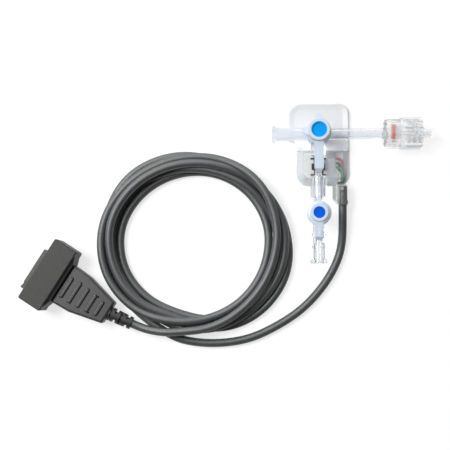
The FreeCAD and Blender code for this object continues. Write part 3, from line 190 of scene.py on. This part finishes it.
def remap(tree, value, start, end, low, high):
    """Goes from low to high while the value goes from start to end, and holds outside."""
    node = tree.nodes.new("ShaderNodeMapRange")
    node.inputs["From Min"].default_value = start
    node.inputs["From Max"].default_value = end
    node.inputs["To Min"].default_value = low
    node.inputs["To Max"].default_value = high
    tree.links.new(value, node.inputs["Value"])
    return node.outputs["Result"]


def new_material(name):
    """Empty node material, with its output and a Principled shader."""
    material = bpy.data.materials.new(name)
    material.use_nodes = True
    tree = material.node_tree
    tree.nodes.clear()
    output = tree.nodes.new("ShaderNodeOutputMaterial")
    shader = tree.nodes.new("ShaderNodeBsdfPrincipled")
    tree.links.new(shader.outputs["BSDF"], output.inputs["Surface"])
    return material, shader


def noise(tree, scale, detail=3.0, stretch=(1.0, 1.0, 1.0)):
    """Noise in the piece's own coordinates; scale is in waves to the metre."""
    place = tree.nodes.new("ShaderNodeTexCoord")
    mapping = tree.nodes.new("ShaderNodeMapping")
    mapping.inputs["Scale"].default_value = stretch
    texture = tree.nodes.new("ShaderNodeTexNoise")
    texture.inputs["Scale"].default_value = scale
    texture.inputs["Detail"].default_value = detail
    tree.links.new(place.outputs["Object"], mapping.inputs["Vector"])
    tree.links.new(mapping.outputs["Vector"], texture.inputs["Vector"])
    return texture.outputs["Fac"]


def vary_colour(material, shader, first, second, scale):
    """Base colour that wanders between two near colours."""
    tree = material.node_tree
    ramp = tree.nodes.new("ShaderNodeValToRGB")
    ramp.color_ramp.elements[0].position = NOISE_LOW
    ramp.color_ramp.elements[0].color = first
    ramp.color_ramp.elements[1].position = NOISE_HIGH
    ramp.color_ramp.elements[1].color = second
    tree.links.new(noise(tree, scale), ramp.inputs["Fac"])
    tree.links.new(ramp.outputs["Color"], shader.inputs["Base Color"])


def vary_roughness(material, shader, low, high, scale):
    """Roughness that wanders between two values."""
    tree = material.node_tree
    spread = remap(tree, noise(tree, scale), NOISE_LOW, NOISE_HIGH, low, high)
    tree.links.new(spread, shader.inputs["Roughness"])


def add_grain(material, shader, scale, depth, detail=3.0, stretch=(1.0, 1.0, 1.0)):
    """Fine surface texture; depth is its height in metres."""
    tree = material.node_tree
    bump = tree.nodes.new("ShaderNodeBump")
    bump.inputs["Strength"].default_value = 1.0
    bump.inputs["Distance"].default_value = depth
    tree.links.new(noise(tree, scale, detail, stretch), bump.inputs["Height"])
    tree.links.new(bump.outputs["Normal"], shader.inputs["Normal"])


def let_lamps_through(material, shader, share):
    """Lets that share of the lamps' light pass straight through a clear piece."""
    tree = material.node_tree
    output = next(node for node in tree.nodes if node.type == "OUTPUT_MATERIAL")
    path = tree.nodes.new("ShaderNodeLightPath")
    amount = tree.nodes.new("ShaderNodeMath")
    amount.operation = "MULTIPLY"
    amount.inputs[1].default_value = share
    clear = tree.nodes.new("ShaderNodeBsdfTransparent")
    mix = tree.nodes.new("ShaderNodeMixShader")
    tree.links.new(path.outputs["Is Shadow Ray"], amount.inputs[0])
    tree.links.new(amount.outputs["Value"], mix.inputs["Fac"])
    tree.links.new(shader.outputs["BSDF"], mix.inputs[1])
    tree.links.new(clear.outputs["BSDF"], mix.inputs[2])
    tree.links.new(mix.outputs["Shader"], output.inputs["Surface"])


def moulded(name, first, second, roughness, grain=2.5e-6, specular=0.5, subsurface=0.0,
            through=0.0):
    """Moulded plastic: two near tones, fine texture, uneven gloss; through is light let pass."""
    material, shader = new_material(name)
    vary_colour(material, shader, first, second, scale=900.0)
    vary_roughness(material, shader, roughness - 0.05, roughness + 0.07, scale=1500.0)
    add_grain(material, shader, scale=5200.0, depth=grain)
    shader.inputs["Specular IOR Level"].default_value = specular
    shader.inputs["Subsurface Weight"].default_value = subsurface
    shader.inputs["Subsurface Radius"].default_value = (1.0, 1.0, 1.0)
    shader.inputs["Subsurface Scale"].default_value = SUBSURFACE_DEPTH
    if through:
        let_lamps_through(material, shader, through)
    return material


def clear_moulded(name, tint, roughness, clearness, through, grain, index=1.46):
    """Clear moulded plastic with faint flow waves."""
    material, shader = new_material(name)
    shader.inputs["Base Color"].default_value = tint
    shader.inputs["Transmission Weight"].default_value = clearness
    shader.inputs["IOR"].default_value = index
    vary_roughness(material, shader, roughness * 0.85, roughness * 1.15, scale=500.0)
    add_grain(material, shader, scale=320.0, depth=grain, detail=1.0)
    let_lamps_through(material, shader, through)
    return material


def milky(name, tint, roughness, top_cover, side_cover, through):
    """Thin milky plastic: hides one share of what is under its level top, another at its sides."""
    material, shader = new_material(name)
    vary_colour(material, shader, tint, darker(tint, 0.96), scale=500.0)
    tree = material.node_tree
    surface = tree.nodes.new("ShaderNodeNewGeometry")
    split = tree.nodes.new("ShaderNodeSeparateXYZ")
    tree.links.new(surface.outputs["Normal"], split.inputs["Vector"])
    cover = remap(tree, split.outputs["Z"], SIDE_SLOPE, TOP_SLOPE, side_cover, top_cover)
    tree.links.new(cover, shader.inputs["Alpha"])
    vary_roughness(material, shader, roughness - 0.04, roughness + 0.04, scale=900.0)
    add_grain(material, shader, scale=3200.0, depth=1e-6)
    let_lamps_through(material, shader, through)
    return material


def frost_arm(material, frosted, start, end):
    """Makes the roughness grow to a frosted one from X start to X end, in metres."""
    tree = material.node_tree
    shader = next(node for node in tree.nodes if node.type == "BSDF_PRINCIPLED")
    clear = shader.inputs["Roughness"].links[0].from_socket
    place = tree.nodes.new("ShaderNodeTexCoord")
    split = tree.nodes.new("ShaderNodeSeparateXYZ")
    tree.links.new(place.outputs["Object"], split.inputs["Vector"])
    share = remap(tree, split.outputs["X"], start, end, low=0.0, high=1.0)
    mix = tree.nodes.new("ShaderNodeMix")
    mix.inputs["B"].default_value = frosted
    tree.links.new(share, mix.inputs["Factor"])
    tree.links.new(clear, mix.inputs["A"])
    tree.links.new(mix.outputs["Result"], shader.inputs["Roughness"])


def metal(name, colour, roughness):
    """Bright metal with fine drawing lines."""
    material, shader = new_material(name)
    shader.inputs["Metallic"].default_value = 1.0
    vary_colour(material, shader, colour, darker(colour, 0.86), scale=1600.0)
    vary_roughness(material, shader, roughness, roughness + 0.12, scale=3000.0)
    add_grain(material, shader, scale=6000.0, depth=1.2e-6, stretch=(1.0, 0.1, 1.0))
    return material


def rubber(name, first, second, roughness, grain):
    """Soft matte elastomer with a fine pebbled skin."""
    material, shader = new_material(name)
    vary_colour(material, shader, first, second, scale=1100.0)
    vary_roughness(material, shader, roughness - 0.06, roughness + 0.06, scale=1800.0)
    add_grain(material, shader, scale=3600.0, depth=grain)
    return material


def cable_skin(name):
    """Extruded cable jacket: satin grey, with faint mottling."""
    material, shader = new_material(name)
    vary_colour(material, shader, linear(70, 72, 73), linear(78, 80, 81), scale=420.0)
    vary_roughness(material, shader, low=0.44, high=0.52, scale=900.0)
    add_grain(material, shader, scale=4200.0, depth=2e-6)
    shader.inputs["Specular IOR Level"].default_value = 0.95
    return material


def wire(name, first, second):
    """Thin glossy insulation of one core."""
    return rubber(name, first, second, roughness=0.36, grain=1.5e-6)


# Mouldings of the plate, the cover and the clear line
white_plastic = moulded("white_moulding", linear(250, 251, 252), linear(245, 246, 248),
                        roughness=0.36, subsurface=0.2)
cover_plastic = milky("frosted_cover", linear(228, 232, 236), roughness=0.3,
                      top_cover=0.16, side_cover=0.42, through=0.95)
clear_plastic = clear_moulded("clear_moulding", linear(238, 240, 242), roughness=0.07,
                              clearness=0.96, through=0.85, grain=4e-7)
collar_plastic = clear_moulded("collar_moulding", linear(247, 248, 249), roughness=0.12,
                               clearness=0.92, through=0.7, grain=8e-7)
body_plastic = clear_moulded("clear_body_moulding", linear(238, 240, 243), roughness=0.07,
                             clearness=0.95, through=0.93, grain=4e-7)
frost_arm(body_plastic, FROST_ROUGHNESS, FROST_START, FROST_END)
gland_plastic = clear_moulded("gland_moulding", linear(188, 192, 189), roughness=0.16,
                              clearness=0.84, through=0.4, grain=6e-7, index=1.38)

# What lies under the cover
ceramic = moulded("board_ceramic", linear(242, 243, 240), linear(234, 236, 233), roughness=0.5)
silicon = moulded("die_silicon", linear(70, 74, 84), linear(84, 90, 100), roughness=0.22)
resistor = moulded("resistor_film", linear(196, 200, 204), linear(210, 214, 217), roughness=0.4)
# The strip's dark slate tone is partly painted shade. It stands for the handle's shadow and the
# shaded top wall of the cover at that edge, on a strip that is really there.
slate_and_painted_shade = moulded("slate_strip_painted_shade", linear(140, 152, 168), linear(150, 162, 177), roughness=0.4)
elastomer = rubber("black_elastomer", linear(26, 26, 28), linear(34, 34, 36),
                   roughness=0.5, grain=3e-6)

# Plugs, handles, seal and metal pieces
azure = moulded("azure_moulding", linear(0, 168, 250), linear(0, 180, 254),
                roughness=0.34, specular=0.12, through=0.6)
royal_blue = moulded("royal_blue_moulding", linear(0, 100, 232), linear(0, 110, 242),
                     roughness=0.34, specular=0.12, through=0.5)
pale_blue = moulded("pale_blue_moulding", linear(226, 240, 255), linear(231, 243, 255),
                    roughness=0.32, subsurface=0.08, through=0.85)
orange = rubber("orange_seal", linear(196, 46, 0), linear(208, 56, 2), roughness=0.42, grain=2e-6)
pin_steel = metal("pin_steel", (0.62, 0.62, 0.62, 1.0), roughness=0.22)
contact_gold = metal("contact_metal", (0.83, 0.66, 0.32, 1.0), roughness=0.2)

# Connector, cable and its cores
connector = moulded("connector_shell", linear(66, 66, 65), linear(72, 72, 71),
                    roughness=0.5, grain=7e-6, specular=0.3)
overmould = rubber("connector_overmould", linear(60, 61, 60), linear(68, 69, 68),
                   roughness=0.42, grain=5e-6)
relief_rubber = rubber("relief_rubber", linear(46, 47, 46), linear(53, 54, 53),
                       roughness=0.42, grain=4e-6)
nose_plastic = moulded("nose_moulding", linear(84, 84, 82), linear(92, 92, 90),
                       roughness=0.46, specular=0.35)
jacket = cable_skin("cable_jacket")
wire_red = wire("wire_red", linear(196, 40, 66), linear(206, 54, 78))
wire_green = wire("wire_green", linear(30, 138, 76), linear(44, 150, 88))
wire_white = wire("wire_white", linear(226, 226, 224), linear(236, 236, 234))
wire_black = wire("wire_black", linear(30, 30, 32), linear(40, 40, 42))

NODE_MATERIALS = {
    "back_plate": white_plastic,
    "sensor_cover": cover_plastic,
    "manifold_body": body_plastic,
    "lower_stopcock_body": clear_plastic,
    "rotator_cap": collar_plastic,
    "rotator_collar": collar_plastic,
    "rotator_o_ring": orange,
    "sensor_board": ceramic,
    "sensor_die": silicon,
    "trim_resistor": resistor,
    "sensor_gasket": elastomer,
    "contact_strip": slate_and_painted_shade,
    "cable_gland": gland_plastic,
    "gland_pin": pin_steel,
    "upper_plug": azure,
    "upper_handle": pale_blue,
    "lower_plug": royal_blue,
    "lower_handle": pale_blue,
    "plug_shell": connector,
    "plug_nose": nose_plastic,
    "plug_contacts": contact_gold,
    "plug_grip": overmould,
    "plug_strain_relief": relief_rubber,
    "red_wire": wire_red,
    "green_wire": wire_green,
    "white_wire": wire_white,
    "black_wire": wire_black,
}


def dress_nodes():
    """Gives each piece of the frame its material."""
    for name, material in NODE_MATERIALS.items():
        mesh = nodes[name].data
        mesh.materials.clear()
        mesh.materials.append(material)


def soften_edges(name, width):
    """Rounds the sharp edges of a piece a little, as its mould does."""
    piece = nodes[name]
    weld = piece.modifiers.new("weld", "WELD")
    weld.merge_threshold = WELD_GAP
    bevel = piece.modifiers.new("bevel", "BEVEL")
    bevel.width = width
    bevel.segments = SOFT_EDGE_STEPS
    bevel.limit_method = "ANGLE"
    bevel.angle_limit = SOFT_EDGE_ANGLE
    bevel.use_clamp_overlap = True
    bevel.harden_normals = True


def coil_points():
    """Control points of the coil's turns; they lie a little outside the curve that they make."""
    outwards = 1.0 / math.cos(math.radians(COIL_STEP / 2))
    points = []
    for radii, heights in zip(TURN_RADII, TURN_HEIGHTS):
        for i, (radius, height) in enumerate(zip(radii, heights)):
            angle = math.radians(COIL_START + COIL_STEP * i)
            x = COIL_CENTRE[0] + radius * outwards * math.sin(angle)
            y = COIL_CENTRE[1] + radius * outwards * math.cos(angle)
            points.append((x, y, height))
    return points


def make_cable():
    """The whole cable as one smooth curve: lead, coil and tail."""
    points = list(LEAD_POINTS) + coil_points() + list(TAIL_POINTS)
    curve = bpy.data.curves.new("cable", "CURVE")
    curve.dimensions = "3D"
    curve.resolution_u = CABLE_STEPS
    curve.bevel_depth = CABLE_DIAMETER / 2
    curve.bevel_resolution = CABLE_ROUND_STEPS
    curve.use_fill_caps = True
    spline = curve.splines.new("NURBS")
    spline.points.add(len(points) - 1)
    for control, (x, y, z) in zip(spline.points, points):
        control.co = (x * MM, y * MM, z * MM, 1.0)
    spline.order_u = 3
    spline.use_endpoint_u = True
    cable = add_object("cable", curve)
    curve.materials.append(jacket)
    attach(cable, "manifold")
    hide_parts("cable_lead", "cable_coil", "cable_tail")


def make_thread():
    """Two-start thread ridge inside the lock collar, as one mesh of two swept trapezoids."""
    section = ((THREAD_ROOT, -THREAD_FOOT), (THREAD_CREST, -THREAD_FLAT),
               (THREAD_CREST, THREAD_FLAT), (THREAD_ROOT, THREAD_FOOT))
    steps = round(THREAD_STEPS_A_TURN * (THREAD_END - THREAD_START) / THREAD_LEAD)
    corners = []
    faces = []
    for start_angle in (0.0, math.pi):
        first = len(corners)
        for step in range(steps + 1):
            angle = start_angle + 2 * math.pi * step / THREAD_STEPS_A_TURN
            x = THREAD_START + THREAD_LEAD * step / THREAD_STEPS_A_TURN
            corners += [((x + along) * MM, radius * math.cos(angle) * MM,
                         (LINE_HEIGHT + radius * math.sin(angle)) * MM)
                        for radius, along in section]
        for step in range(steps):
            low = first + 4 * step
            faces += [(low + i, low + (i + 1) % 4, low + 4 + (i + 1) % 4, low + 4 + i)
                      for i in range(4)]
        last = first + 4 * steps
        faces += [(first + 3, first + 2, first + 1, first), (last, last + 1, last + 2, last + 3)]
    mesh = bpy.data.meshes.new("luer_thread")
    mesh.from_pydata(corners, [], faces)
    mesh.materials.append(collar_plastic)
    thread = add_object("luer_thread", mesh)
    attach(thread, "luer_lock")


def make_camera():
    """Camera looking down on the object, the image's top towards +Y."""
    data = bpy.data.cameras.new("camera")
    data.lens = CAMERA_LENS
    data.sensor_width = CAMERA_SENSOR
    data.clip_start = CAMERA_NEAREST
    camera = add_object("camera", data)
    forward = (CAMERA_TARGET - CAMERA_PLACE).normalized()
    right = forward.cross(Vector((0, 1, 0))).normalized()
    up = right.cross(forward)
    turn = Matrix((right, up, -forward)).transposed().to_4x4()
    camera.matrix_world = Matrix.Translation(CAMERA_PLACE) @ turn
    bpy.context.scene.camera = camera


def background_rays(tree):
    """One where a ray comes from the camera, a gloss or through glass, else nought."""
    path = tree.nodes.new("ShaderNodeLightPath")
    total = path.outputs["Is Camera Ray"]
    for name in ("Is Glossy Ray", "Is Transmission Ray"):
        add = tree.nodes.new("ShaderNodeMath")
        add.operation = "MAXIMUM"
        tree.links.new(total, add.inputs[0])
        tree.links.new(path.outputs[name], add.inputs[1])
        total = add.outputs["Value"]
    return total


def grey_matte(tree, share):
    """Matte shader that throws back that share of the light."""
    shader = tree.nodes.new("ShaderNodeBsdfDiffuse")
    shader.inputs["Color"].default_value = (share, share, share, 1.0)
    return shader.outputs["BSDF"]


def make_floor():
    """Pale floor that shows as white and keeps a faint shadow."""
    size = FLOOR_HALF
    mesh = bpy.data.meshes.new("floor")
    corners = [(-size, -size, 0), (size, -size, 0), (size, size, 0), (-size, size, 0)]
    mesh.from_pydata(corners, [], [(0, 1, 2, 3)])
    floor = add_object("floor", mesh)
    material = bpy.data.materials.new("floor_white")
    material.use_nodes = True
    tree = material.node_tree
    tree.nodes.clear()
    output = tree.nodes.new("ShaderNodeOutputMaterial")
    glow = tree.nodes.new("ShaderNodeEmission")
    glow.inputs["Strength"].default_value = FLOOR_GLOW
    both = tree.nodes.new("ShaderNodeAddShader")
    mix = tree.nodes.new("ShaderNodeMixShader")
    tree.links.new(grey_matte(tree, FLOOR_SHOWN), both.inputs[0])
    tree.links.new(glow.outputs["Emission"], both.inputs[1])
    tree.links.new(background_rays(tree), mix.inputs["Fac"])
    tree.links.new(grey_matte(tree, FLOOR_BOUNCE), mix.inputs[1])
    tree.links.new(both.outputs["Shader"], mix.inputs[2])
    tree.links.new(mix.outputs["Shader"], output.inputs["Surface"])
    mesh.materials.append(material)


def slope_strength(tree, place, toward, low, high, start=0.0, full=1.0):
    """Strength that goes from low to high as the cosine to a direction goes from start to full."""
    product = tree.nodes.new("ShaderNodeVectorMath")
    product.operation = "DOT_PRODUCT"
    product.inputs[1].default_value = Vector(toward).normalized()
    tree.links.new(place, product.inputs[0])
    return remap(tree, product.outputs["Value"], start, full, low, high)


def make_world():
    """Soft studio surround: white to the camera; fill and gloss come from the picture's top."""
    world = bpy.data.worlds.new("studio")
    bpy.context.scene.world = world
    world.use_nodes = True
    tree = world.node_tree
    tree.nodes.clear()
    output = tree.nodes.new("ShaderNodeOutputWorld")
    surround = tree.nodes.new("ShaderNodeBackground")
    surround.inputs["Color"].default_value = (1.0, 1.0, 1.0, 1.0)
    path = tree.nodes.new("ShaderNodeLightPath")
    place = tree.nodes.new("ShaderNodeTexCoord").outputs["Generated"]
    strength = slope_strength(tree, place, SOFT_LIGHT_FROM, FILL_LOW, FILL_HIGH)
    gloss = slope_strength(tree, place, GLOSS_LIGHT_FROM, GLOSS_LOW, GLOSS_HIGH, start=GLOSS_START)
    glass = slope_strength(tree, place, GLASS_LIGHT_FROM, GLASS_LOW, GLASS_HIGH, full=GLASS_FULL)
    backdrop = tree.nodes.new("ShaderNodeValue").outputs["Value"]
    backdrop.default_value = BACKDROP_STRENGTH
    kinds = (("Is Glossy Ray", gloss), ("Is Transmission Ray", glass), ("Is Camera Ray", backdrop))
    for name, value in kinds:
        mix = tree.nodes.new("ShaderNodeMix")
        tree.links.new(path.outputs[name], mix.inputs["Factor"])
        tree.links.new(strength, mix.inputs["A"])
        tree.links.new(value, mix.inputs["B"])
        strength = mix.outputs["Result"]
    tree.links.new(strength, surround.inputs["Strength"])
    tree.links.new(surround.outputs["Background"], output.inputs["Surface"])


def make_lamp(name, direction, distance, size, power):
    """Square area lamp that shines on the object's middle from a direction."""
    data = bpy.data.lights.new(name, "AREA")
    data.shape = "SQUARE"
    data.size = size
    data.energy = power
    lamp = add_object(name, data)
    way = Vector(direction).normalized()
    lamp.location = CAMERA_TARGET + way * distance
    lamp.rotation_euler = way.to_track_quat("Z", "Y").to_euler()


dress_nodes()
for edge_name, edge_width in SOFT_EDGES.items():
    soften_edges(edge_name, edge_width)
make_cable()
make_thread()
make_camera()
make_floor()
make_world()
make_lamp("key", KEY_LIGHT_FROM, KEY_DISTANCE, KEY_SIZE, KEY_POWER)

bpy.context.scene.view_settings.view_transform = "Standard"
